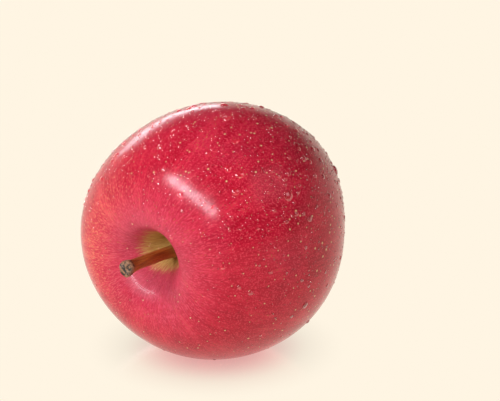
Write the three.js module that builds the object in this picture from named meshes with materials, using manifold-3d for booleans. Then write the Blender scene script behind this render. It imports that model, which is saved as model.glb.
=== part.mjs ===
// A red apple as picked, lying on its side on a table: fruit, stem, and the dried flower in the
// calyx hollow (five sepals round a tuft of stamens).
// Millimetres, +Z up. The stem end faces -Y, and the origin is on the table under the fruit.
//
// Everything is first shaped in the core frame: the core's axis is +Z, the stem end is at +Z and
// the calyx at -Z, with 0 at the middle of the fruit. The whole is then laid down and set on Z = 0.
import * as THREE from "three";
import Module from "manifold-3d";
import { mergeVertices } from "three/addons/utils/BufferGeometryUtils.js";

const wasm = await Module();
wasm.setup();

const degrees = THREE.MathUtils.degToRad;

// ---- Driving dimensions -------------------------------------------------------------------

const fruit = {
  radius: 39.8, // widest radius of the round outline
  halfHeight: 36.5, // from the middle to the top of the dome, before the hollows are sunk
  taper: 0.02, // how much narrower the calyx half is than the stem half
  fullness: 0.073, // 0 is an ellipse, more is squarer in the shoulder
  oval: 0.043, // share by which the outline is longer one way than across it
  ovalTurn: degrees(22),
  threeSided: 0.026, // share by which the outline bulges on three sides
  threeSidedTurn: degrees(-58),
  ribs: 5,
  rib: 0.004, // share by which the ribs stand out at the widest ring
  ribTurn: degrees(-32),
  crown: 2.6, // height of the five bumps round the calyx hollow
  crownReach: 0.6, // how far out the bumps fade, as a share of the radius
  shoulderLean: 4.7, // how much further one shoulder reaches than the other
  shoulderLeanTurn: degrees(-84),
  rows: 54, // rings of facets from pole to pole
  crowding: 0.7, // 0 spaces the rings evenly, towards 1 crowds them at the poles
  columns: 72, // facets round
};

const stemHollow = {
  basinDepth: 4, // wide shallow dish
  basinWidth: 14,
  throatDepth: 23, // funnel, steep on one side and gentle on the other
  steepWidth: 6.2,
  steepPower: 2.7,
  steepTurn: degrees(66), // the side on which it is steep
  steepShare: 1.6, // more keeps the steep wall to a narrower side
  gentleWidth: 7.5,
  gentlePower: 1,
  floorDepth: 19.5, // the funnel is rounded off at this depth
  floorRound: 1,
};

const calyxHollow = { depth: 9, width: 10 };

const calyxTube = { radius: 3.2, depth: 4, sides: 20 }; // pit that holds the dried stamens

const stem = {
  radius: 1.72, // at its waist
  rootRadius: 2.1, // where it enters the flesh
  rootReach: 0.2, // share of the length over which the root swells
  tipRadius: 2.5, // knob that broke off the twig
  tipReach: 0.12,
  endRounding: 0.3, // share by which the very end is drawn in
  endReach: 0.5,
  footX: -0.2, // where it stands on the floor of the hollow
  footY: -1.7,
  footDepth: 1, // how far below the floor its length is counted from
  length: 26,
  buried: 6, // length inside the flesh
  clearance: 0.3, // gap between stem and flesh all round
  socketEnd: 1.2, // thickness of the disc that clears its buried end
  lean: degrees(4), // away from the core's axis
  leanTurn: degrees(93),
  bow: 0.4, // sideways bend in the middle
  bowTurn: degrees(80),
  sides: 14,
  steps: 22,
};

const sepal = {
  count: 5,
  foot: calyxTube.radius + 0.8, // distance of its foot from the core's axis
  rise: 5.5, // height of its tip over its foot
  flare: 3.4, // how far its tip curls outwards
  width: 3.6,
  tipWidth: 0.3,
  slimness: 0.7, // less keeps it broad for longer
  cup: 0.3, // how far its edges stand back from its middle
  thickness: 0.6,
  gap: 0.3, // clear space under its foot
  turn: degrees(20),
};

const stamen = {
  count: 9,
  radius: 0.35,
  tipShare: 0.7, // radius at the tip as a share of the radius at the foot
  sides: 7,
  height: 4.2,
  spread: 1.5, // distance of its foot from the core's axis
  base: 1.1, // thickness of the button they stand on
  leans: [3, 8, 13].map(degrees), // taken in turn
};

const restDepth = 0.45; // how much of the round side the small flat spot takes away
const coreTilt = degrees(0); // how far the core's axis is turned from level

// ---- Finishes -----------------------------------------------------------------------------

const finish = (color, roughness) =>
  new THREE.MeshStandardMaterial({ color, roughness, metalness: 0 });
const redSkin = finish(0xb5202f, 0.3);
const brownWood = finish(0x6b3a18, 0.65);
const dryLeaf = finish(0x5a4a2c, 0.85);
const darkStraw = finish(0x3b2b1a, 0.9);

// ---- Fruit --------------------------------------------------------------------------------

// Round outline from the calyx pole (t = 0) to the stem pole (t = 1), before the hollows are sunk.
function outlinePoint(t) {
  const crowded = t - (fruit.crowding * Math.sin(2 * Math.PI * t)) / (2 * Math.PI);
  const turn = Math.PI * (1 - crowded);
  const across =
    fruit.radius *
    Math.pow(Math.sin(turn), 1 - fruit.fullness) *
    (1 + fruit.taper * Math.cos(turn));
  return new THREE.Vector2(t === 0 || t === 1 ? 0 : across, fruit.halfHeight * Math.cos(turn));
}

// Smaller of two lengths, with the corner between them rounded.
const softMin = (a, b, round) =>
  Math.min(a, b) - round * Math.log1p(Math.exp(-Math.abs(a - b) / round));

// Depth of the stem hollow: a dish, and a funnel that blends a steep wall into a gentle one.
function stemSunk(across, around) {
  const dish = stemHollow.basinDepth * Math.exp(-((across / stemHollow.basinWidth) ** 2));
  const steep = Math.exp(-((across / stemHollow.steepWidth) ** stemHollow.steepPower));
  const gentle = Math.exp(-((across / stemHollow.gentleWidth) ** stemHollow.gentlePower));
  const facing = (1 + Math.cos(around - stemHollow.steepTurn)) / 2;
  const funnel = THREE.MathUtils.lerp(gentle, steep, Math.pow(facing, stemHollow.steepShare));
  const depth = dish + stemHollow.throatDepth * funnel;
  return softMin(depth, stemHollow.floorDepth, stemHollow.floorRound);
}

const calyxSunk = (across) =>
  calyxHollow.depth * Math.exp(-((across / calyxHollow.width) ** 2));

// Sinks the two hollows into the round outline.
function sink(point) {
  const across = Math.hypot(point.x, point.y);
  const around = Math.atan2(point.y, point.x);
  point.z += point.z > 0 ? -stemSunk(across, around) : calyxSunk(across);
  return point;
}

// Moves a point of the round outline to where it is on the real, uneven fruit.
function grow(point) {
  const around = Math.atan2(point.y, point.x);
  const reach = Math.hypot(point.x, point.y) / fruit.radius;
  const level = point.z / fruit.halfHeight;
  const bulge =
    fruit.oval * Math.cos(2 * (around - fruit.ovalTurn)) +
    fruit.threeSided * Math.cos(3 * (around - fruit.threeSidedTurn)) +
    fruit.rib * Math.cos(fruit.ribs * (around - fruit.ribTurn)) * (1 - level);
  point.x *= 1 + bulge;
  point.y *= 1 + bulge;
  const upper = Math.max(level, 0) * reach;
  const lower = Math.max(-level, 0) * reach * Math.exp(-((reach / fruit.crownReach) ** 2));
  point.z += fruit.shoulderLean * upper * Math.cos(around - fruit.shoulderLeanTurn);
  point.z -= fruit.crown * lower * Math.cos(fruit.ribs * (around - fruit.ribTurn));
  return point;
}

// Turns a lathe, whose axis is +Y, so that its axis is the core's +Z.
const latheAlongCore = (points, sides) =>
  new THREE.LatheGeometry(points, sides).rotateX(Math.PI / 2);

const outline = Array.from({ length: fruit.rows + 1 }, (_, i) => outlinePoint(i / fruit.rows));

// Level of the calyx hollow's surface at a distance from the core's axis.
function calyxLevel(across) {
  const next = outline.findIndex((point) => point.x > across);
  const [inner, outer] = [outline[next - 1], outline[next]];
  const dome = THREE.MathUtils.mapLinear(across, inner.x, outer.x, inner.y, outer.y);
  return dome + calyxSunk(across);
}

const floorOfStemHollow = fruit.halfHeight - stemHollow.floorDepth;
const floorOfCalyxHollow = calyxHollow.depth - fruit.halfHeight;

// ---- Booleans -----------------------------------------------------------------------------

function solidOf(geometry) {
  const bare = geometry.clone();
  bare.deleteAttribute("normal");
  bare.deleteAttribute("uv");
  const merged = mergeVertices(bare, 1e-3);
  return new wasm.Manifold(
    new wasm.Mesh({
      numProp: 3,
      vertProperties: merged.getAttribute("position").array,
      triVerts: new Uint32Array(merged.index.array),
    }),
  );
}

function geometryOf(solid) {
  const mesh = solid.getMesh();
  const geometry = new THREE.BufferGeometry();
  geometry.setAttribute("position", new THREE.BufferAttribute(mesh.vertProperties, 3));
  geometry.setIndex(new THREE.BufferAttribute(mesh.triVerts, 1));
  geometry.computeVertexNormals();
  return geometry;
}

// ---- Stem ---------------------------------------------------------------------------------

// The stem's centreline from its buried end to its tip, as a gentle bow.
const stemDirection = new THREE.Vector3(
  Math.sin(stem.lean) * Math.cos(stem.leanTurn),
  Math.sin(stem.lean) * Math.sin(stem.leanTurn),
  Math.cos(stem.lean),
);
const stemFoot = new THREE.Vector3(stem.footX, stem.footY, floorOfStemHollow - stem.footDepth);
const stemSide = new THREE.Vector3(Math.cos(stem.bowTurn), Math.sin(stem.bowTurn), 0);

class StemLine extends THREE.Curve {
  getPoint(t, target = new THREE.Vector3()) {
    const along = THREE.MathUtils.lerp(-stem.buried, stem.length, t);
    const share = Math.max(along, 0) / stem.length;
    return target
      .copy(stemFoot)
      .addScaledVector(stemDirection, along)
      .addScaledVector(stemSide, stem.bow * Math.sin(Math.PI * share));
  }
}

// Radius of the stem along its length: thick root, narrow waist, swollen tip with a rounded end.
function stemRadius(t) {
  const along = THREE.MathUtils.lerp(-stem.buried, stem.length, t);
  const share = Math.max(along, 0) / stem.length;
  const root = (stem.rootRadius - stem.radius) * Math.exp(-((share / stem.rootReach) ** 2));
  const tip = (stem.tipRadius - stem.radius) * Math.exp(-(((1 - share) / stem.tipReach) ** 2));
  const roundedEnd = 1 - stem.endRounding * Math.exp(-((stem.length - along) / stem.endReach));
  return (stem.radius + root + tip) * roundedEnd;
}

// Moves every point of a geometry to where place(point) puts it.
function reshape(geometry, place) {
  const position = geometry.getAttribute("position");
  const point = new THREE.Vector3();
  for (let i = 0; i < position.count; i++) {
    place(point.fromBufferAttribute(position, i));
    position.setXYZ(i, point.x, point.y, point.z);
  }
  geometry.computeVertexNormals();
  return geometry;
}

// A round rod of varying radius along a line: a unit cylinder whose rings are moved onto the line.
function rod(line, radiusAt, sides, steps) {
  const frames = line.computeFrenetFrames(steps, false);
  return reshape(new THREE.CylinderGeometry(1, 1, 1, sides, steps), (point) => {
    const step = Math.round((point.y + 0.5) * steps);
    const t = step / steps;
    const [across, back] = [point.x * radiusAt(t), point.z * radiusAt(t)];
    line.getPoint(t, point);
    point.addScaledVector(frames.normals[step], across);
    point.addScaledVector(frames.binormals[step], -back);
  });
}

const stemLine = new StemLine();
const stemGeometry = rod(stemLine, stemRadius, stem.sides, stem.steps);

// ---- Calyx --------------------------------------------------------------------------------

// One dried sepal: a thin pointed tongue that stands at the rim of the calyx tube and curls
// outwards. A unit box is moved onto it: x runs across, y along and z through its thickness.
function sepalGeometry(turn) {
  const flat = new THREE.BoxGeometry(1, 1, 1, 6, 10, 1);
  return reshape(flat, (point) => {
    const across = 2 * point.x;
    const along = point.y + 0.5;
    const through = point.z + 0.5;
    const taper = Math.pow(1 - along, sepal.slimness) * (1 + along);
    const halfWidth = (sepal.width * taper + sepal.tipWidth) / 2;
    const curl = sepal.flare * along * along + sepal.cup * across * across;
    const radius = sepal.foot + curl + sepal.thickness * through;
    const angle = turn - (halfWidth * across) / radius;
    const level = calyxLevel(sepal.foot + sepal.thickness) - sepal.gap - sepal.rise * along;
    point.set(
      radius * Math.cos(angle),
      radius * Math.sin(angle),
      Math.min(level, calyxLevel(radius) - sepal.gap),
    );
    grow(point);
  });
}

// The dried stamens: a low button in the calyx tube with thin filaments standing on it.
function stamenGeometry() {
  const foot = floorOfCalyxHollow + calyxTube.depth - stem.clearance;
  const wide = calyxTube.radius - stem.clearance;
  const button = new THREE.CylinderGeometry(wide, wide, stamen.base, calyxTube.sides);
  button.rotateX(Math.PI / 2).translate(0, 0, foot - stamen.base / 2);
  let solid = solidOf(button);
  for (let i = 0; i < stamen.count; i++) {
    const angle = (2 * Math.PI * i) / stamen.count;
    const lean = stamen.leans[i % stamen.leans.length];
    const filament = new THREE.CylinderGeometry(
      stamen.radius,
      stamen.radius * stamen.tipShare,
      stamen.height,
      stamen.sides,
    );
    filament.rotateX(Math.PI / 2).translate(0, 0, -stamen.height / 2);
    filament.rotateY(-lean).rotateZ(angle);
    filament.translate(
      stamen.spread * Math.cos(angle),
      stamen.spread * Math.sin(angle),
      foot - stamen.base / 2,
    );
    solid = solid.add(solidOf(filament));
  }
  return geometryOf(solid);
}

// ---- Laying the fruit down ----------------------------------------------------------------

const apple = new THREE.Group();
apple.name = "apple";
apple.rotation.x = Math.PI / 2 + coreTilt;

const wholeFruit = reshape(latheAlongCore(outline, fruit.columns), (point) => grow(sink(point)));

// The lowest point of the laid fruit, and with it the height that puts the flat spot on Z = 0.
apple.updateMatrix();
const laid = wholeFruit.clone().applyMatrix4(apple.matrix);
laid.computeBoundingBox();
const lowest = laid.boundingBox.min.z;
apple.position.z = -(lowest + restDepth);
apple.updateMatrix();

// The table, as a big block whose top is Z = 0, brought into the core frame to cut the flat spot.
const tableSize = 4 * fruit.radius;
const table = new THREE.BoxGeometry(tableSize, tableSize, tableSize)
  .translate(0, 0, -tableSize / 2)
  .applyMatrix4(apple.matrix.clone().invert());

// The stem's socket is the stem itself with a clearance all round.
const socket = rod(
  stemLine,
  (t) => stemRadius(t) + stem.clearance,
  stem.sides,
  stem.steps,
);
const socketEnd = new THREE.CylinderGeometry(
  stem.rootRadius + stem.clearance,
  stem.rootRadius + stem.clearance,
  stem.socketEnd,
  stem.sides,
).rotateX(Math.PI / 2);
socketEnd.applyQuaternion(
  new THREE.Quaternion().setFromUnitVectors(new THREE.Vector3(0, 0, 1), stemDirection),
);
const buriedEnd = stemLine.getPoint(0);
socketEnd.translate(buriedEnd.x, buriedEnd.y, buriedEnd.z);

const tubePit = new THREE.CylinderGeometry(
  calyxTube.radius,
  calyxTube.radius,
  calyxTube.depth * 2,
  calyxTube.sides,
)
  .rotateX(Math.PI / 2)
  .translate(0, 0, floorOfCalyxHollow);

const fruitSolid = solidOf(wholeFruit)
  .subtract(solidOf(table))
  .subtract(solidOf(socket))
  .subtract(solidOf(socketEnd))
  .subtract(solidOf(tubePit));

function addPart(name, geometry, material) {
  const mesh = new THREE.Mesh(geometry, material);
  mesh.name = name;
  apple.add(mesh);
}

addPart("fruit", geometryOf(fruitSolid), redSkin);
addPart("stem", stemGeometry, brownWood);
for (let i = 0; i < sepal.count; i++) {
  const turn = sepal.turn + (2 * Math.PI * i) / sepal.count;
  addPart(`sepal_${i + 1}`, sepalGeometry(turn), dryLeaf);
}
addPart("stamen_tuft", stamenGeometry(), darkStraw);

export default apple;
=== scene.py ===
import math

import bpy
import numpy as np
from mathutils import Matrix, Vector


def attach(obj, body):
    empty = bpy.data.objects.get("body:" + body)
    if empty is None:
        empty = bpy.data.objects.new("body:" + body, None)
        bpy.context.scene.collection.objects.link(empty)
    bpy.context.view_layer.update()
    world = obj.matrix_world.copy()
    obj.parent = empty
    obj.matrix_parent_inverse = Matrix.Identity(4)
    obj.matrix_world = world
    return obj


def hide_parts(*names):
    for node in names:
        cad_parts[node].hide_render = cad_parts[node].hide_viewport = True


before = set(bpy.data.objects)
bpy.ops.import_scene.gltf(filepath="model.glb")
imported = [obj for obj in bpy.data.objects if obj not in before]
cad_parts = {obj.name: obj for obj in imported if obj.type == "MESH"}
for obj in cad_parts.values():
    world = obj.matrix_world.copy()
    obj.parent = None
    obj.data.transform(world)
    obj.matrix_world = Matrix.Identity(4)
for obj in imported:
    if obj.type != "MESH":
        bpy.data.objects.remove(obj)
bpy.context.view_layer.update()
mm = 0.001
print("frame loaded")


def addNode(tree, kind, inputs=None, **settings):
    made = tree.nodes.new(kind)
    for name, value in settings.items():
        setattr(made, name, value)
    for key, value in (inputs or {}).items():
        if isinstance(value, bpy.types.NodeSocket):
            tree.links.new(value, made.inputs[key])
        else:
            made.inputs[key].default_value = value
    return made


def calculate(tree, operation, first, second=0.0):
    return addNode(tree, "ShaderNodeMath", {0: first, 1: second}, operation=operation).outputs[0]


def total(tree, first, *others):
    for other in others:
        first = calculate(tree, "ADD", first, other)
    return first


def times(tree, value, factor):
    return calculate(tree, "MULTIPLY", value, factor)


def swing(tree, value, amount):
    # a noise about its middle: (value - 0.5) * amount
    return times(tree, calculate(tree, "SUBTRACT", value, 0.5), amount)


def smoothStep(tree, value, low, high, atLow=0.0, atHigh=1.0):
    inputs = {"Value": value, "From Min": low, "From Max": high, "To Min": atLow, "To Max": atHigh}
    return addNode(tree, "ShaderNodeMapRange", inputs, interpolation_type="SMOOTHSTEP").outputs[0]


def mixColour(tree, share, first, second):
    inputs = {0: share}
    for key, colour in ((6, first), (7, second)):
        inputs[key] = colour if isinstance(colour, bpy.types.NodeSocket) else (*colour, 1)
    return addNode(tree, "ShaderNodeMix", inputs, data_type="RGBA", clamp_factor=True).outputs[2]


def vectorMath(tree, operation, output, inputs):
    return addNode(tree, "ShaderNodeVectorMath", inputs, operation=operation).outputs[output]


def scaled(tree, vector, factors):
    return vectorMath(tree, "MULTIPLY", 0, {0: vector, 1: factors})


def objectPlace(tree):
    return addNode(tree, "ShaderNodeTexCoord").outputs["Object"]


def attributeOf(tree, name):
    return addNode(tree, "ShaderNodeAttribute", attribute_name=name).outputs["Vector"]


def splitUp(tree, vector):
    return addNode(tree, "ShaderNodeSeparateXYZ", {0: vector}).outputs


def noise(tree, vector, scale, detail=3.0, roughness=0.55):
    inputs = {"Vector": vector, "Scale": scale, "Detail": detail, "Roughness": roughness}
    return addNode(tree, "ShaderNodeTexNoise", inputs).outputs["Fac"]


def colourBand(tree, value, stops):
    ramp = addNode(tree, "ShaderNodeValToRGB", {0: value})
    elements = ramp.color_ramp.elements
    while len(elements) < len(stops):
        elements.new(1.0)
    for element, (position, colour) in zip(elements, stops):
        element.position = position
        element.color = (*colour, 1)
    return ramp.outputs[0]


def newMaterial(name):
    material = bpy.data.materials.new(name)
    material.use_nodes = True
    tree = material.node_tree
    return material, tree, tree.nodes["Principled BSDF"]


def setSockets(shader, values):
    for socket, value in values.items():
        shader.inputs[socket].default_value = value


def addBump(tree, shader, height, strength, depth):
    inputs = {"Height": height, "Strength": strength, "Distance": depth * mm}
    tree.links.new(addNode(tree, "ShaderNodeBump", inputs).outputs[0], shader.inputs["Normal"])


view = {
    "azimuth": math.radians(36.1),  # seen from the right of the stem end
    "elevation": math.radians(19.3),
    "distance": 600 * mm,
    "lens": 144,
    "aimRight": 10.4 * mm,  # how far right of the fruit the camera looks
    "aimUp": 8.3 * mm,
    "target": (0.0, 0.0, 38.1 * mm),  # middle of the fruit
}


def directionOf(azimuth, elevation):
    # unit vector from the fruit towards a place at that azimuth (0 is -Y) and height
    level = math.cos(elevation)
    return Vector((math.sin(azimuth) * level, -math.cos(azimuth) * level, math.sin(elevation)))


def addCamera():
    back = directionOf(view["azimuth"], view["elevation"])
    right = Vector((math.cos(view["azimuth"]), math.sin(view["azimuth"]), 0))
    up = back.cross(right)
    aim = Vector(view["target"]) + right * view["aimRight"] + up * view["aimUp"]
    data = bpy.data.cameras.new("camera")
    data.lens = view["lens"]
    data.clip_start = 0.05
    data.clip_end = 50
    camera = bpy.data.objects.new("camera", data)
    camera.location = aim + back * view["distance"]
    camera.rotation_euler = (-back).to_track_quat("-Z", "Y").to_euler()
    bpy.context.scene.collection.objects.link(camera)
    bpy.context.scene.camera = camera


studio = {
    "cream": (1.0, 0.913, 0.768),  # the pale table and what is seen round it
    "roof": (0.10, 0.093, 0.088),
    "daylight": (0.93, 0.98, 1.05),  # colour of the boxes, slightly cool
    "ringTop": (0.08, 0.42),  # where the pale ring round the horizon fades into the roof
    "front": 0.14,  # brightness of the room behind the camera
    "frontReach": (-0.35, 0.45),  # where it fades, as the cosine of the angle from straight behind
    "tableHalf": 4.0,  # metres
    "paintedBounce": (1.0, 0.60, 0.57),  # painted light: the table close to the fruit glows pink, standing in for the red light the fruit throws on it
    "paintedBounceReach": (0.010, 0.029),  # metres from where the fruit rests
    "mirror": 0.45,  # share of the table's look that is reflection, close to the fruit
    "mirrorReach": (0.004, 0.041),
    "mirrorColour": (1, 0.78, 0.78, 1),
    "tableRough": 0.2,
}


softboxes = {
    # the two ends of each box as seen from the fruit (azimuth and height in degrees), its distance and
    # width in metres, and its brightness
    "key": {"ends": ((-47, 36), (16, 25)), "away": 0.75, "width": 0.077, "light": 32},
    "rim": {"ends": ((-142, 14), (-109, 12)), "away": 0.80, "width": 0.12, "light": 5.5},
    "fill": {"ends": ((58, 44), (108, 36)), "away": 0.80, "width": 0.40, "light": 1.2},
}
unlit = bpy.data.collections.new("unlit")


def addSoftbox(name, spec):
    # a strip of even brightness between two directions, facing the fruit; watts = brightness * pi * area
    middle = Vector(view["target"])
    ends = [directionOf(math.radians(turn), math.radians(height)) for turn, height in spec["ends"]]
    first, last = (middle + end * spec["away"] for end in ends)
    data = bpy.data.lights.new(name, "AREA")
    data.shape = "RECTANGLE"
    data.size, data.size_y = (last - first).length, spec["width"]
    data.color = studio["daylight"]
    data.energy = spec["light"] * math.pi * data.size * data.size_y
    lamp = bpy.data.objects.new(name, data)
    lamp.location = (first + last) / 2
    lamp.light_linking.receiver_collection = unlit  # it leaves the table out, which stays evenly pale
    longWay = (last - first).normalized()
    backward = (lamp.location - middle).normalized()
    backward = (backward - longWay * backward.dot(longWay)).normalized()
    lamp.rotation_euler = Matrix((longWay, backward.cross(longWay), backward)).transposed().to_euler()
    bpy.context.scene.collection.objects.link(lamp)


def addWorld():
    # a pale ring near the horizon, darker overhead and behind the camera
    world = bpy.data.worlds.new("studio")
    world.use_nodes = True
    tree = world.node_tree
    tree.nodes.clear()
    direction = addNode(tree, "ShaderNodeTexCoord").outputs["Generated"]
    high = smoothStep(tree, splitUp(tree, direction)["Z"], *studio["ringTop"])
    behind = directionOf(view["azimuth"], 0)
    facing = vectorMath(tree, "DOT_PRODUCT", "Value", {0: direction, 1: behind})
    dim = smoothStep(tree, facing, *studio["frontReach"], 1.0, studio["front"])
    ring = vectorMath(tree, "SCALE", 0, {0: studio["cream"], "Scale": dim})
    colour = mixColour(tree, high, ring, studio["roof"])
    background = addNode(tree, "ShaderNodeBackground", {"Color": colour})
    addNode(tree, "ShaderNodeOutputWorld", {0: background.outputs[0]})
    bpy.context.scene.world = world


def addTable():
    # a flat square that glows cream, with painted red bounce light glowing close to the fruit, under a
    # blurred mirror that fades outwards
    half = studio["tableHalf"]
    corners = [(-half, -half, 0), (half, -half, 0), (half, half, 0), (-half, half, 0)]
    mesh = bpy.data.meshes.new("table")
    mesh.from_pydata(corners, [], [(0, 1, 2, 3)])
    table = bpy.data.objects.new("table", mesh)
    bpy.context.scene.collection.objects.link(table)
    material = bpy.data.materials.new("tableTop")
    material.use_nodes = True
    tree = material.node_tree
    tree.nodes.clear()
    distance = vectorMath(tree, "LENGTH", "Value", {0: objectPlace(tree)})
    share = smoothStep(tree, distance, *studio["mirrorReach"], studio["mirror"], 0.0)
    # painted bounce light: the table's glow turns pink close to the fruit, in place of the light the fruit
    # throws on it
    paintedBounce = smoothStep(tree, distance, *studio["paintedBounceReach"], 1.0, 0.0)
    colour = mixColour(tree, paintedBounce, studio["cream"], studio["paintedBounce"])
    glow = addNode(tree, "ShaderNodeEmission", {"Color": colour})
    polish = {"Color": studio["mirrorColour"], "Roughness": studio["tableRough"]}
    mirror = addNode(tree, "ShaderNodeBsdfGlossy", polish)
    surface = addNode(tree, "ShaderNodeMixShader", {0: share, 1: glow.outputs[0], 2: mirror.outputs[0]})
    addNode(tree, "ShaderNodeOutputMaterial", {"Surface": surface.outputs[0]})
    mesh.materials.append(material)
    unlit.objects.link(table)
    unlit.collection_objects[0].light_linking.link_state = "EXCLUDE"


addCamera()
for softboxName, softboxSpec in softboxes.items():
    addSoftbox(softboxName, softboxSpec)
addWorld()
addTable()
bpy.context.scene.view_settings.view_transform = "Standard"
print("camera, lights and table made")


fruit = {
    # millimetres; the core's axis is +Z with the stem end up, and turns round it start at +X
    "radius": 39.8,
    "halfHeight": 36.5,
    "taper": 0.02,  # how much wider it is towards the stem
    "fullness": 0.073,  # 0 is an ellipse
    "oval": 0.043,  # how far it bulges, as shares of the radius
    "ovalTurn": math.radians(22),
    "threeSided": 0.026,
    "threeSidedTurn": math.radians(-58),
    "ribs": 5,
    "rib": 0.004,
    "ribTurn": math.radians(-32),
    "crown": 2.6,  # height of the bumps round the calyx
    "crownReach": 0.6,
    "shoulderLean": 4.7,  # how much further one shoulder reaches
    "shoulderLeanTurn": math.radians(-84),
    "basinDepth": 4.0,  # wide shallow dish at the stem end
    "basinWidth": 14.0,
    "throatDepth": 23.0,  # funnel, steep on one side and gentle on the other
    "steepWidth": 6.2,
    "steepPower": 2.7,
    "steepTurn": math.radians(66),
    "steepShare": 1.6,
    "gentleWidth": 7.5,
    "gentlePower": 1.0,
    "floorDepth": 19.5,  # the funnel is rounded off at this depth
    "floorRound": 1.0,
    "calyxDepth": 9.0,
    "calyxWidth": 10.0,
    "tubeRadius": 3.2,
    "tubeDepth": 3.6,
    "tubePower": 8,
    "restDepth": 0.45,  # how much of the round side the flat spot takes away
    "rows": 300,
    "columns": 320,
    "outlineSteps": 6000,
}


def fruitOutline(count):
    # round outline from the calyx pole to the stem pole: across = radius * sin(turn)^(1 - fullness) *
    # (1 + taper * cos(turn)), along = halfHeight * cos(turn), spaced evenly by the finished surface
    turn = np.linspace(np.pi, 0, fruit["outlineSteps"])
    across = fruit["radius"] * np.clip(np.sin(turn), 0, 1) ** (1 - fruit["fullness"])
    across = across * (1 + fruit["taper"] * np.cos(turn))
    across[0] = across[-1] = 0
    along = fruit["halfHeight"] * np.cos(turn)
    sunk = along + hollows(across, along, 0)
    travelled = np.concatenate([[0], np.cumsum(np.hypot(np.diff(across), np.diff(sunk)))])
    wanted = np.linspace(0, travelled[-1], count)
    return np.interp(wanted, travelled, across), np.interp(wanted, travelled, along)


def hollows(across, along, around):
    # how far the skin is moved along the axis, each wall as depth * exp(-(across / width)^power). At the stem
    # end, a dish and a funnel that blends a steep wall into a gentle one by the turn, with a rounded floor.
    # At the calyx end, a hollow and a pit
    dish = fruit["basinDepth"] * np.exp(-((across / fruit["basinWidth"]) ** 2))
    steep = np.exp(-((across / fruit["steepWidth"]) ** fruit["steepPower"]))
    gentle = np.exp(-((across / fruit["gentleWidth"]) ** fruit["gentlePower"]))
    facing = (0.5 + 0.5 * np.cos(around - fruit["steepTurn"])) ** fruit["steepShare"]
    sunk = dish + fruit["throatDepth"] * (facing * steep + (1 - facing) * gentle)
    floor, soft = fruit["floorDepth"], fruit["floorRound"]
    sunk = np.minimum(sunk, floor) - soft * np.log(1 + np.exp(-np.abs(sunk - floor) / soft))
    hollow = fruit["calyxDepth"] * np.exp(-((across / fruit["calyxWidth"]) ** 2))
    pit = fruit["tubeDepth"] * np.exp(-((across / fruit["tubeRadius"]) ** fruit["tubePower"]))
    return np.where(along > 0, -sunk, hollow + pit)


def grow(across, along, around):
    # the uneven fruit: the round outline bulges by cosines of 2, 3 and 5 turns, one shoulder
    # reaches further, and five bumps stand round the calyx hollow
    reach = across / fruit["radius"]
    level = along / fruit["halfHeight"]
    ribWave = np.cos(fruit["ribs"] * (around - fruit["ribTurn"]))
    bulge = fruit["oval"] * np.cos(2 * (around - fruit["ovalTurn"]))
    bulge = bulge + fruit["threeSided"] * np.cos(3 * (around - fruit["threeSidedTurn"]))
    bulge = bulge + fruit["rib"] * ribWave * (1 - level)
    upper = np.clip(level, 0, None) * reach
    lower = np.clip(-level, 0, None) * reach * np.exp(-((reach / fruit["crownReach"]) ** 2))
    along = along + fruit["shoulderLean"] * upper * np.cos(around - fruit["shoulderLeanTurn"])
    along = along - fruit["crown"] * lower * ribWave
    across = across * (1 + bulge)
    return np.stack([across * np.cos(around), across * np.sin(around), along], -1)


def restHeight():
    # height of the core above the table: the lowest side of the fruit, less the flat spot
    across, along, around, _ = outlineGrid()
    return -grow(across, along + hollows(across, along, around), around)[..., 1].min() - fruit["restDepth"]


def layDown(points):
    # core frame in millimetres to the row frame in metres: the stem end turns from +Z to -Y
    return np.stack([points[..., 0], -points[..., 2], points[..., 1] + fruitLift], -1) * mm


def makeMesh(name, points, faces, layers):
    # a smooth mesh with its attributes, as an object at the origin
    mesh = bpy.data.meshes.new(name)
    mesh.from_pydata(points.tolist(), [], faces)
    mesh.polygons.foreach_set("use_smooth", np.ones(len(mesh.polygons), bool))
    for key, value in layers.items():
        layer = mesh.attributes.new(key, "FLOAT_VECTOR", "POINT")
        layer.data.foreach_set("vector", value.astype(np.float32).ravel())
    mesh.update()
    piece = bpy.data.objects.new(name, mesh)
    bpy.context.scene.collection.objects.link(piece)
    return piece


def gridMesh(name, grid, attributes):
    # one closed shape from points[row, column]: the columns close round, and the first and the last row
    # each close on their own centre
    rows, columns = grid.shape[:2]
    points = grid.reshape(-1, 3)
    index = np.arange(rows * columns).reshape(rows, columns)
    nextColumn = np.roll(index, -1, axis=1)
    quads = np.stack([index[:-1], nextColumn[:-1], nextColumn[1:], index[1:]], -1)
    faces = quads.reshape(-1, 4).tolist()
    layers = {key: value.reshape(rows * columns, -1) for key, value in attributes.items()}
    for edge, ring in ((0, (nextColumn[0], index[0])), (-1, (index[-1], nextColumn[-1]))):
        hub = np.full(columns, len(points))
        points = np.vstack([points, grid[edge].mean(0)])
        faces += np.stack([hub, *ring], -1).tolist()
        for key, value in layers.items():
            layers[key] = np.vstack([value, value[index[edge]].mean(0)])
    return makeMesh(name, points, faces, layers)


def stackMesh(name, points, sides, attributes):
    # many closed shapes in one mesh: points[shape] is a top point, rings of points, and a bottom point
    count, each = points.shape[:2]
    here = np.arange(sides)
    after = (here + 1) % sides
    last = each - 1
    bandStart = np.arange(1, last - sides, sides)[:, None]
    top = np.stack([np.zeros_like(here), 1 + here, 1 + after], -1)
    bottom = np.stack([np.full_like(here, last), last - sides + after, last - sides + here], -1)
    bands = [bandStart + here, bandStart + sides + here, bandStart + sides + after, bandStart + after]
    start = (np.arange(count) * each)[:, None, None]
    faces = []
    for kind in (top, bottom, np.stack(bands, -1).reshape(-1, 4)):
        faces += (kind + start).reshape(-1, kind.shape[1]).tolist()
    return makeMesh(name, points.reshape(-1, 3), faces, attributes)


def withEnds(rings):
    # rings[shape, ring, side] as flat lists of points, with the middle of the first and last ring added
    flat = rings.reshape(len(rings), -1, rings.shape[-1])
    return np.concatenate([rings[:, 0].mean(1)[:, None], flat, rings[:, -1].mean(1)[:, None]], 1)


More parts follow.
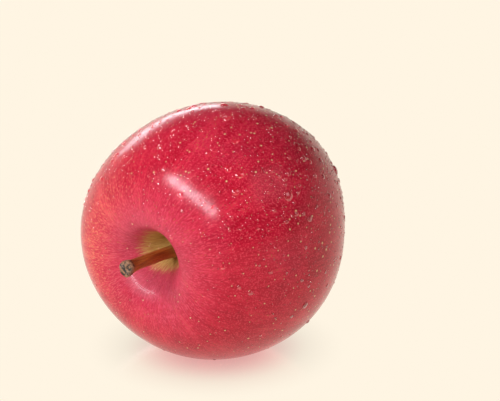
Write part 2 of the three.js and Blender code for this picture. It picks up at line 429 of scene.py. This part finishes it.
def addPiece(piece, material, slotName, *replacedNodes):
    piece.data.materials.append(material)
    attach(piece, "root")
    if replacedNodes:
        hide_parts(*replacedNodes)
    return piece


patches = [
    # paler, warmer belts: turn round the core in degrees, share of the way to the stem, the spread of
    # each, and strength
    (180, 0.76, 50, 0.06, 0.5),  # on the left shoulder
    (250, 0.45, 40, 0.12, 0.4),
    (140, 0.35, 40, 0.14, 0.5),
]


def outlineGrid():
    # across, along, around and share of the way to the stem, for every row and column of the skin
    across, along = fruitOutline(fruit["rows"])
    around = np.linspace(0, 2 * np.pi, fruit["columns"], endpoint=False)
    acrossGrid, aroundGrid = np.meshgrid(across[1:-1], around, indexing="ij")
    alongGrid = np.meshgrid(along[1:-1], around, indexing="ij")[0]
    share = np.meshgrid(np.linspace(0, 1, fruit["rows"])[1:-1], around, indexing="ij")[0]
    return acrossGrid, alongGrid, aroundGrid, share


def fruitGrid():
    # the skin's points, flat where the fruit rests. Each carries its place along the meridian, and how far it
    # is in the stem hollow, in the calyx hollow and on a warm belt, each fading as exp(-(distance)^power)
    acrossGrid, alongGrid, aroundGrid, share = outlineGrid()
    sunkGrid = alongGrid + hollows(acrossGrid, alongGrid, aroundGrid)
    grid = layDown(grow(acrossGrid, sunkGrid, aroundGrid))
    grid[..., 2] = np.maximum(grid[..., 2], 0)
    meridian = np.stack([np.cos(aroundGrid), np.sin(aroundGrid), share], -1)
    stemZone = np.exp(-((acrossGrid / (7.6 + 1.2 * np.cos(aroundGrid - 2.9))) ** 3)) * (alongGrid > 0)
    calyxZone = np.exp(-((acrossGrid / 11.0) ** 2)) * (alongGrid < 0)
    warm = np.zeros_like(share)
    for turn, level, wide, tall, strength in patches:
        off = (np.degrees(aroundGrid) - turn + 180) % 360 - 180
        warm += strength * np.exp(-((off / wide) ** 2) - ((share - level) / tall) ** 2)
    return grid, {"meridian": meridian, "zone": np.stack([stemZone, calyxZone, warm], -1)}


skinLook = {
    # colours, from the thinnest red to the thickest, then those of the hollows and marks
    "straw": (0.80, 0.40, 0.13),
    "ground": (0.74, 0.150, 0.085),
    "bright": (0.63, 0.021, 0.052),
    "red": (0.50, 0.006, 0.029),
    "deep": (0.28, 0.003, 0.012),
    "darkOlive": (0.33, 0.16, 0.045),
    "olive": (0.56, 0.33, 0.09),
    "paleOlive": (0.66, 0.46, 0.17),
    "lenticel": (0.80, 0.43, 0.24),
    "bloom": (0.58, 0.10, 0.17),
    "fleck": (0.76, 0.050, 0.085),
    "warmFleck": (0.85, 0.42, 0.13),
    # how often each pattern repeats: per turn, per turn and along the meridian, or per metre
    "fineStreak": (44, 44, 30),
    "broadStreak": (6, 6, 3.5),
    "dash": (56, 56, 125),
    "mottle": 140,
    "grain": 2100,
    "pores": 420,
    "haze": 45,
    # what each pattern adds to the red
    "least": 0.14,
    "fineShare": 0.95,
    "broadShare": 0.5,
    "mottleShare": 0.55,
    "grainShare": 1.2,
    "warmShare": -0.42,
    "ringShare": 0.22,
    "roughness": 0.20,
    "shine": 0.36,  # 0.5 is the full reflection of the wax
}


def skinPatterns(tree):
    # streaks are noise stretched along the meridians, and near the stem the grain turns into short dashes
    place = objectPlace(tree)
    meridian = attributeOf(tree, "meridian")
    toStem = splitUp(tree, meridian)["Z"]
    fine = noise(tree, scaled(tree, meridian, skinLook["fineStreak"]), 1.0, 5, 0.72)
    broad = noise(tree, scaled(tree, meridian, skinLook["broadStreak"]), 1.0, 4, 0.6)
    mottle = noise(tree, place, skinLook["mottle"], 4, 0.6)
    grain = noise(tree, place, skinLook["grain"], 1, 0.6)
    dash = noise(tree, scaled(tree, meridian, skinLook["dash"]), 1.0, 2, 0.7)
    dash = total(tree, times(tree, dash, 1.6), -0.3)
    nearStem = smoothStep(tree, toStem, 0.66, 0.82)
    grain = addNode(tree, "ShaderNodeMix", {0: nearStem, 2: grain, 3: dash}).outputs[0]
    return place, toStem, fine, broad, mottle, grain


def skinPores(tree, place, toStem, mottle):
    # pores and the redder rings round them, by how far a point is past a pore's edge; the pores grow towards
    # the calyx end
    inputs = {"Vector": place, "Scale": skinLook["pores"]}
    cells = addNode(tree, "ShaderNodeTexVoronoi", inputs).outputs["Distance"]
    size = total(tree, smoothStep(tree, toStem, 0.35, 0.85, 0.17, 0.10), swing(tree, mottle, 0.25))
    past = calculate(tree, "SUBTRACT", cells, size)
    return smoothStep(tree, past, -0.06, 0.0, 0.85, 0.0), smoothStep(tree, past, 0.0, 0.11, 1.0, 0.0)


def makeSkin():
    # red laid over a pale ground, thick where the streaks, mottling and grain are high, with flecks, a haze
    # near the stem, russet in both hollows and pale pores
    material, tree, shader = newMaterial("appleSkin")
    place, toStem, fine, broad, mottle, grain = skinPatterns(tree)
    zone = splitUp(tree, attributeOf(tree, "zone"))
    pore, ring = skinPores(tree, place, toStem, mottle)
    cover = total(
        tree,
        times(tree, fine, skinLook["fineShare"]),
        skinLook["least"],
        swing(tree, broad, skinLook["broadShare"]),
        swing(tree, mottle, skinLook["mottleShare"]),
        swing(tree, grain, skinLook["grainShare"]),
        times(tree, zone["Z"], skinLook["warmShare"]),
        times(tree, ring, skinLook["ringShare"]),
    )
    stops = [
        (0.0, skinLook["straw"]),
        (0.16, skinLook["ground"]),
        (0.38, skinLook["bright"]),
        (0.56, skinLook["red"]),
        (0.95, skinLook["deep"]),
    ]
    colour = colourBand(tree, cover, stops)
    fleck = mixColour(tree, zone["Z"], skinLook["fleck"], skinLook["warmFleck"])
    colour = mixColour(tree, smoothStep(tree, grain, 0.52, 0.62, 0.0, 0.65), colour, fleck)
    colour = mixColour(tree, smoothStep(tree, grain, 0.37, 0.48, 0.5, 0.0), colour, skinLook["deep"])
    haze = smoothStep(tree, noise(tree, place, skinLook["haze"]), 0.45, 0.75, 0.0, 0.10)
    haze = total(tree, haze, smoothStep(tree, toStem, 0.70, 0.88, 0.0, 0.3))
    haze = times(tree, haze, times(tree, grain, 2.0))
    colour = mixColour(tree, haze, colour, skinLook["bloom"])
    browns = [(0.36, skinLook["darkOlive"]), (0.52, skinLook["olive"]), (0.68, skinLook["paleOlive"])]
    russet = colourBand(tree, fine, browns)
    inStem = total(tree, zone["X"], swing(tree, fine, 1.1))
    colour = mixColour(tree, smoothStep(tree, inStem, 0.35, 0.75), colour, russet)
    inCalyx = total(tree, zone["Y"], swing(tree, fine, 0.9))
    colour = mixColour(tree, smoothStep(tree, inCalyx, 0.35, 0.9), colour, russet)
    colour = mixColour(tree, pore, colour, skinLook["lenticel"])
    tree.links.new(colour, shader.inputs["Base Color"])
    rough = smoothStep(tree, mottle, 0.3, 0.7, skinLook["roughness"] - 0.04, skinLook["roughness"] + 0.06)
    rough = total(tree, rough, smoothStep(tree, toStem, 0.79, 0.88, 0.0, 0.32))
    tree.links.new(rough, shader.inputs["Roughness"])
    wax = {"IOR": 1.34, "Specular IOR Level": skinLook["shine"], "Coat Weight": 0.1, "Coat Roughness": 0.12}
    setSockets(shader, wax)
    height = total(tree, times(tree, mottle, 0.6), times(tree, grain, 0.12), times(tree, fine, 0.25))
    addBump(tree, shader, height, 0.25, 0.4)
    return material


fruitLift = restHeight()
fruitPoints, fruitLayers = fruitGrid()
fruitPiece = gridMesh("apple_fruit", fruitPoints, fruitLayers)
addPiece(fruitPiece, makeSkin(), "skin", "fruit")
print("fruit made")


stem = {
    "foot": (-0.2, -1.7, 16.0),  # core frame, at the bottom of the stem hollow
    "tip": (-0.3, 0.1, 42.0),
    "buried": 6.0,
    "radius": 1.72,
    "rootRadius": 2.1,
    "rootReach": 0.2,  # as a share of the length, like the next one
    "tipRadius": 2.55,
    "tipReach": 0.10,
    "bow": 0.4,
    "bowTurn": math.radians(80),
    "ridges": ((7, 0.030, 0.3, 0), (13, 0.016, -0.5, 1)),  # how many, height, twist per millimetre, start
    "lumps": ((2, 0.07, 0.6), (3, 0.05, 2.1), (5, 0.03, 0)),  # on the knob: how many, height, start
    "rimRound": 0.12,  # how much the end's rim is drawn in, and over how many millimetres
    "rimReach": 0.35,
    "faceRings": (0.93, 0.82, 0.66, 0.45, 0.24),  # rings of the end face, as shares of the rim
    "greenReach": 17.0,
    "sides": 64,
    "steps": 150,
}


def stemSurface():
    # a rod carried along a gently bowed line: radius = radius + swelling at the root + knob at the tip,
    # roughened by low ridges that run along it; the tip is drawn in to a cracked end face
    foot, tip, steps = np.array(stem["foot"]), np.array(stem["tip"]), stem["steps"]
    length = np.linalg.norm(tip - foot)
    axis = (tip - foot) / length
    side = np.array([math.cos(stem["bowTurn"]), math.sin(stem["bowTurn"]), 0])
    side = side - axis * side.dot(axis)
    side /= np.linalg.norm(side)
    other = np.cross(axis, side)
    inward = np.array(stem["faceRings"])
    travel = np.linspace(-stem["buried"], length, steps)
    travel = np.concatenate([travel, np.full(len(inward), length)])
    share = np.clip(travel / length, 0, 1)
    root = np.exp(-((share / stem["rootReach"]) ** 2))
    knob = np.exp(-(((1 - share) / stem["tipReach"]) ** 2))
    radius = stem["radius"] + (stem["rootRadius"] - stem["radius"]) * root
    radius = radius + (stem["tipRadius"] - stem["radius"]) * knob
    radius[:steps] *= 1 - stem["rimRound"] * np.exp(-(length - travel[:steps]) / stem["rimReach"])
    radius[steps:] *= (1 - stem["rimRound"]) * inward
    turn = np.linspace(0, 2 * np.pi, stem["sides"], endpoint=False)[None]
    radius, travel, share, knob = (each[:, None] + 0 * turn for each in (radius, travel, share, knob))
    rough = 1
    for many, high, twist, start in stem["ridges"]:
        rough = rough + high * np.cos(many * turn + twist * travel + start)
    for many, high, start in stem["lumps"]:
        rough = rough + knob * high * np.cos(many * turn + start)
    radius = radius * rough
    # the end face: raised in the middle, three low lobes, and a dimple
    spread = radius[steps:] / stem["tipRadius"]
    lobes = 0.26 * np.cos(3 * turn + 1) * spread
    travel[steps:] += 0.30 * (1 - spread) + lobes - 0.2 * np.exp(-((spread / 0.3) ** 2))
    line = foot + axis * travel[..., None] + side * (stem["bow"] * np.sin(np.pi * share))[..., None]
    ring = side * np.cos(turn)[..., None] + other * np.sin(turn)[..., None]
    bark = np.stack([np.cos(turn) + 0 * travel, np.sin(turn) + 0 * travel, travel / length], -1)
    ends = np.stack([np.clip(1 - travel / stem["greenReach"], 0, 1), knob, np.zeros_like(knob)], -1)
    ends[steps:, :, 2] = 1
    return layDown(line + ring * radius[..., None]), {"meridian": bark, "zone": ends}


barkLook = {
    "dark": (0.16, 0.028, 0.005),
    "middle": (0.34, 0.072, 0.010),
    "light": (0.50, 0.140, 0.020),
    "green": (0.34, 0.17, 0.035),  # towards the root
    "crack": (0.014, 0.009, 0.009),  # on the knob and its end face
    "cut": (0.30, 0.145, 0.075),
    "fibre": (5, 5, 3.2),
    "speck": 1400,
    "cracks": 900,
}


def makeBark():
    # red-brown fibres along the stem, greener at the root, with a cracked dark knob
    material, tree, shader = newMaterial("stemWood")
    place = objectPlace(tree)
    ends = splitUp(tree, attributeOf(tree, "zone"))
    fibre = noise(tree, scaled(tree, attributeOf(tree, "meridian"), barkLook["fibre"]), 1.0, 5, 0.65)
    speck = noise(tree, place, barkLook["speck"], 3, 0.6)
    stops = [(0.28, barkLook["dark"]), (0.5, barkLook["middle"]), (0.72, barkLook["light"])]
    colour = colourBand(tree, fibre, stops)
    colour = mixColour(tree, smoothStep(tree, ends["X"], 0.35, 0.9), colour, barkLook["green"])
    crack = smoothStep(tree, noise(tree, place, barkLook["cracks"], 4, 0.7), 0.42, 0.58)
    cut = mixColour(tree, crack, barkLook["crack"], barkLook["cut"])
    dark = calculate(tree, "MAXIMUM", smoothStep(tree, ends["Y"], 0.55, 0.95, 0.0, 0.8), ends["Z"])
    colour = mixColour(tree, dark, colour, cut)
    tree.links.new(colour, shader.inputs["Base Color"])
    setSockets(shader, {"Roughness": 0.5})
    height = total(tree, times(tree, fibre, 0.7), times(tree, speck, 0.3))
    addBump(tree, shader, height, 0.6, 0.5)
    return material


stemPoints, stemLayers = stemSurface()
stemPiece = gridMesh("apple_stem", stemPoints, stemLayers)
addPiece(stemPiece, makeBark(), "stem_wood", "stem")
print("stem made")


flower = {
    "sepals": 5,
    "foot": 4.0,  # distance of a sepal's foot from the core's axis
    "rise": 5.5,
    "flare": (3.4, 2.6, 3.7, 3.0, 3.3),  # how far each tip curls outwards
    "width": 3.6,
    "tipWidth": 0.3,
    "slimness": 0.7,
    "cup": 0.5,
    "thickness": 0.42,
    "gap": 0.3,
    "turn": math.radians(20),
    "sepalSides": 28,
    "sepalSteps": 44,
    "filaments": 13,
    "filamentSides": 10,
    "filamentSteps": 16,
    "filamentRadius": 0.16,
    "filamentLength": 4.4,
    "antherRadius": 0.42,
    "floor": -24.2,  # where the filaments stand, along the core's axis
    "button": (2.9, 1.1),  # radius and height of the disc they stand on
    "buttonSides": 40,
    "buttonSteps": 14,
}


def calyxLevel(across):
    # where the skin lies along the core's axis inside the calyx hollow
    outlineAcross, outlineAlong = fruitOutline(fruit["rows"])
    lower = outlineAlong < -0.3 * fruit["halfHeight"]
    along = np.interp(across, outlineAcross[lower], outlineAlong[lower])
    return along + hollows(across, along, 0)


def sepalRings(number):
    # a pointed tongue: half width = width * (1 - share)^slimness * (1 + share) / 2, curled outwards by
    # flare * share^2, cupped by cup * across^2 and creased by low waves; its section is a flat oval
    share = np.linspace(0, 1, flower["sepalSteps"])
    section = np.linspace(0, 2 * np.pi, flower["sepalSides"], endpoint=False)
    share, section = np.meshgrid(share, section, indexing="ij")
    across = np.cos(section)
    tapered = flower["width"] * (1 - share) ** flower["slimness"] * (1 + share)
    halfWidth = (tapered + flower["tipWidth"]) / 2
    crease = 0.10 * np.cos(7 * across + 2 * share + number) + 0.06 * np.cos(13 * across - 5 * share)
    through = flower["thickness"] * (0.5 - 0.5 * np.sin(section))
    curl = flower["flare"][number] * share**2 + flower["cup"] * across**2 + crease * share
    radius = flower["foot"] + curl + through
    angle = flower["turn"] + 2 * np.pi * number / flower["sepals"] + halfWidth * across / radius
    angle = angle + 0.10 * share**2 * math.sin(2.3 * number + 1)
    along = calyxLevel(flower["foot"] + 0.6) - flower["gap"] - flower["rise"] * share
    along = along - 0.2 * share * np.cos(9 * share + 2 * number) * across**2
    along = np.minimum(along, calyxLevel(radius) - flower["gap"])
    grown = layDown(grow(radius, along, angle))[None]
    fibres = np.stack([across, share, np.full_like(share, number)], -1)[None]
    return withEnds(grown), withEnds(fibres)


def filamentRings():
    # thin rods that lean outwards and bend, each ending in a small oval anther: the foot, lean, length and
    # bend of each rod are cosines of its number
    number = np.arange(flower["filaments"])[:, None, None]
    share = np.linspace(0, 1, flower["filamentSteps"])[None, :, None]
    section = np.linspace(0, 2 * np.pi, flower["filamentSides"], endpoint=False)[None, None]
    length = flower["filamentLength"] * (0.8 + 0.2 * np.cos(2.7 * number))
    around = 2 * np.pi * number / flower["filaments"] + 0.2 * np.cos(5 * number)
    foot = 1.1 + 0.7 * np.cos(3.1 * number) ** 2
    lean = 0.16 + 0.08 * np.cos(4.3 * number)
    outward = foot + length * share * lean + 0.3 * np.sin(2.5 * share + number)
    anther = np.exp(-(((share - 0.92) / 0.09) ** 2))
    endRound = np.sqrt(np.clip(1.0001 - share**12, 0, 1))
    radius = (flower["filamentRadius"] + flower["antherRadius"] * anther) * endRound
    x = outward * np.cos(around) + radius * np.cos(section)
    y = outward * np.sin(around) + radius * np.sin(section)
    z = flower["floor"] - length * share + 0 * x
    fibres = np.stack([share + 0 * x, anther + 0 * x, number + 0 * x], -1)
    return withEnds(layDown(np.stack([x, y, z], -1))), withEnds(fibres)


def buttonRings():
    # the low round disc under the filaments, a little uneven: across = radius * sin(turn)^0.35,
    # along = floor + height / 2 * (1 + cos(turn))
    wide, tall = flower["button"]
    turn = np.linspace(0.12, np.pi - 0.12, flower["buttonSteps"])[:, None]
    around = np.linspace(0, 2 * np.pi, flower["buttonSides"], endpoint=False)[None]
    across = wide * np.sin(turn) ** 0.35 * (1 + 0.02 * np.cos(9 * around))
    along = flower["floor"] + tall / 2 + tall / 2 * np.cos(turn) * (1 + 0.1 * np.cos(5 * around))
    rings = np.stack([across * np.cos(around), across * np.sin(around), along], -1)[None]
    return withEnds(layDown(rings)), withEnds(np.zeros_like(rings))


driedLooks = {
    # three browns from dark to light, and how often the fibres repeat
    "driedSepal": ((0.035, 0.020, 0.010), (0.12, 0.070, 0.032), (0.27, 0.18, 0.095), (9, 2.5, 3)),
    "driedStamen": ((0.020, 0.012, 0.008), (0.075, 0.042, 0.020), (0.20, 0.13, 0.06), (3, 6, 5)),
}


def makeDried(name):
    # dry, crumbly and dull: three browns by a noise stretched along the fibres, mixed with a fine one
    low, middle, high, fibreScale = driedLooks[name]
    material, tree, shader = newMaterial(name)
    strand = noise(tree, scaled(tree, attributeOf(tree, "fibres"), fibreScale), 1.0, 4, 0.6)
    crumb = noise(tree, objectPlace(tree), 1500, 3, 0.6)
    mixed = total(tree, times(tree, strand, 0.7), times(tree, crumb, 0.3))
    colour = colourBand(tree, mixed, [(0.36, low), (0.5, middle), (0.64, high)])
    tree.links.new(colour, shader.inputs["Base Color"])
    setSockets(shader, {"Roughness": 0.85})
    addBump(tree, shader, mixed, 0.7, 0.4)
    return material


sepalMaterial = makeDried("driedSepal")
for number in range(flower["sepals"]):
    sepalPoints, sepalFibres = sepalRings(number)
    sepalName = "dried_sepal_%d" % (number + 1)
    sepalPiece = stackMesh(sepalName, sepalPoints, flower["sepalSides"], {"fibres": sepalFibres})
    addPiece(sepalPiece, sepalMaterial, "dried_sepal", "sepal_%d" % (number + 1))
stamenMaterial = makeDried("driedStamen")
filamentPoints, filamentFibres = filamentRings()
buttonPoints, buttonFibres = buttonRings()
filamentLayers, buttonLayers = {"fibres": filamentFibres}, {"fibres": buttonFibres}
filamentPiece = stackMesh("dried_filaments", filamentPoints, flower["filamentSides"], filamentLayers)
buttonPiece = stackMesh("dried_button", buttonPoints, flower["buttonSides"], buttonLayers)
addPiece(filamentPiece, stamenMaterial, "dried_stamen")
addPiece(buttonPiece, stamenMaterial, "dried_stamen", "stamen_tuft")
print("dried flower made")


drops = {
    "seed": 7,
    "large": {"count": 32, "radius": (0.9, 1.7), "flat": 0.45, "rings": 8, "sides": 24},
    "medium": {"count": 280, "radius": (0.42, 0.85), "flat": 0.45, "rings": 5, "sides": 10},
    "small": {"count": 1500, "radius": (0.20, 0.42), "flat": 0.5, "rings": 3, "sides": 8},
    "beads": {"count": 1500, "radius": (0.15, 0.30), "flat": 0.5, "rings": 2, "sides": 7},
    "smallerOften": 2.2,  # more makes large drops rarer within a kind
    "apart": 1.02,  # least distance between two middles, as a share of their radii together
    "sunk": 0.018,  # millimetres
    "skirt": (0.96, 0.12),  # width and depth of the part below the skin, as shares of the radius
    "topLevel": 14,  # millimetres from the fruit's middle: wet above this, and
    "farSide": 22,  # less so to the right of this,
    "farWet": 0.35,
    "fade": 5.0,
    "few": 0.03,  # the least anywhere else
    "bareMiddle": (-5, -2),  # across and up, at the stem end
    "bareRadius": 22,
    "dryBelow": 3,  # millimetres above the table
}


def wetness(points):
    # how thickly the drops lie: most on top and on the far side, few low down, none round the stem hollow or
    # by the table; the edges fade as 1 / (1 + exp(-distance / fade)), and three crossed sines make clumps
    right, out, up = (points / mm - [0, 0, fruitLift]).T
    top = 1 / (1 + np.exp(-(up - drops["topLevel"]) / drops["fade"]))
    side = drops["farWet"] / (1 + np.exp(-(right - drops["farSide"]) / drops["fade"]))
    side = side * np.clip((up + 30) / 40, 0, 1)
    clump = 0.6 + 0.4 * np.sin(right * 0.37 + 1) * np.sin(out * 0.31 + 2) * np.sin(up * 0.29)
    acrossBare, upBare = drops["bareMiddle"]
    inBare = np.hypot(right - acrossBare, up - upBare) / drops["bareRadius"]
    bare = 1 - np.exp(-(inBare**4)) * (out < 0)
    return (top + side + drops["few"]) * clump * bare * (points[:, 2] > drops["dryBelow"] * mm)


def scatter(rng, kind, taken):
    # drop middles spread over the skin with odds area * wetness; each keeps clear of those before it
    grid = fruitPoints
    ring = np.roll(grid, -1, axis=1)
    corner = [each.reshape(-1, 3) for each in (grid[:-1], ring[:-1], grid[1:], ring[1:])]
    normal = np.cross(corner[1] - corner[0], corner[2] - corner[0])
    area = np.linalg.norm(normal, axis=1)
    normal = normal / area[:, None]
    odds = area * wetness(sum(corner) / 4)
    count = kind["count"]
    low, high = kind["radius"]
    radius = np.sort(low + (high - low) * rng.random(count) ** drops["smallerOften"])[::-1] * mm
    pick = rng.choice(len(odds), count, p=odds / odds.sum())
    u, v = rng.random(count)[:, None], rng.random(count)[:, None]
    middle = (corner[0][pick] * (1 - u) + corner[1][pick] * u) * (1 - v)
    middle = middle + (corner[2][pick] * (1 - u) + corner[3][pick] * u) * v
    everyMiddle, everyRadius = np.vstack([taken[0], middle]), np.concatenate([taken[1], radius])
    distance = np.linalg.norm(middle[:, None] - everyMiddle[None], axis=2)
    near = distance < drops["apart"] * (radius[:, None] + everyRadius[None])
    before = np.arange(len(everyRadius))[None] < (np.arange(count) + len(taken[1]))[:, None]
    free = ~(near & before).any(1)
    middle, radius, normal = middle[free], radius[free], normal[pick][free]
    return middle, radius, normal, (np.vstack([taken[0], middle]), np.concatenate([taken[1], radius]))


def dropMesh(name, rng, kind, middle, radius, normal):
    # each drop is a dome: across = radius * sin(turn), height = flat * radius * cos(turn), its outline a
    # little uneven, closed below the skin
    rings, sides, count = kind["rings"], kind["sides"], len(radius)
    turn = np.linspace(0, np.pi / 2, rings + 1)[1:]
    spin = np.linspace(0, 2 * np.pi, sides, endpoint=False)
    phase = rng.random((count, 2)) * 2 * np.pi
    wobble = 1 + 0.07 * np.cos(2 * spin + phase[:, :1]) + 0.04 * np.cos(3 * spin + phase[:, 1:])
    across = np.sin(turn)[None, :, None] * wobble[:, None, :]
    height = (np.cos(turn) * kind["flat"])[None, :, None] + 0 * across
    local = np.stack([across * np.cos(spin), across * np.sin(spin), height], -1)
    local = local.reshape(count, rings * sides, 3)
    wide, deep = drops["skirt"]
    top = np.broadcast_to([0, 0, kind["flat"]], (count, 1, 3))
    skirt = local[:, -sides:] * [wide, wide, 0] - [0, 0, deep]
    bottom = np.broadcast_to([0, 0, -deep], (count, 1, 3))
    local = np.concatenate([top, local, skirt, bottom], 1)
    tangent = np.cross(normal, [0.3, 0.2, 0.93])  # a slanted direction to start from
    tangent /= np.linalg.norm(tangent, axis=1)[:, None]
    second = np.cross(normal, tangent)
    points = local[..., :1] * tangent[:, None] + local[..., 1:2] * second[:, None]
    points = (points + local[..., 2:] * normal[:, None]) * radius[:, None, None]
    points = points + middle[:, None] - normal[:, None] * drops["sunk"] * mm
    return stackMesh(name, points, sides, {})


waterLook = {
    "Base Color": (0.86, 0.42, 0.5, 1),
    "Roughness": 0.02,
    "IOR": 1.4,
    "Coat Weight": 1.0,  # clearer glints than the water alone gives
    "Coat IOR": 1.8,
    "Coat Roughness": 0.03,
    "Transmission Weight": 1.0,
}


def makeWater():
    material, _, shader = newMaterial("water")
    setSockets(shader, waterLook)
    return material


waterMaterial = makeWater()
dropRandom = np.random.default_rng(drops["seed"])
taken = (np.empty((0, 3)), np.empty(0))
for kindName in ("large", "medium", "small", "beads"):
    dropMiddle, dropRadius, dropNormal, taken = scatter(dropRandom, drops[kindName], taken)
    dropName = "drops_" + kindName
    dropPiece = dropMesh(dropName, dropRandom, drops[kindName], dropMiddle, dropRadius, dropNormal)
    addPiece(dropPiece, waterMaterial, "skin")
    dropPiece.visible_shadow = kindName == "beads"  # clear water lets the light through
    print("drops", kindName, len(dropRadius), "faces", len(dropPiece.data.polygons))
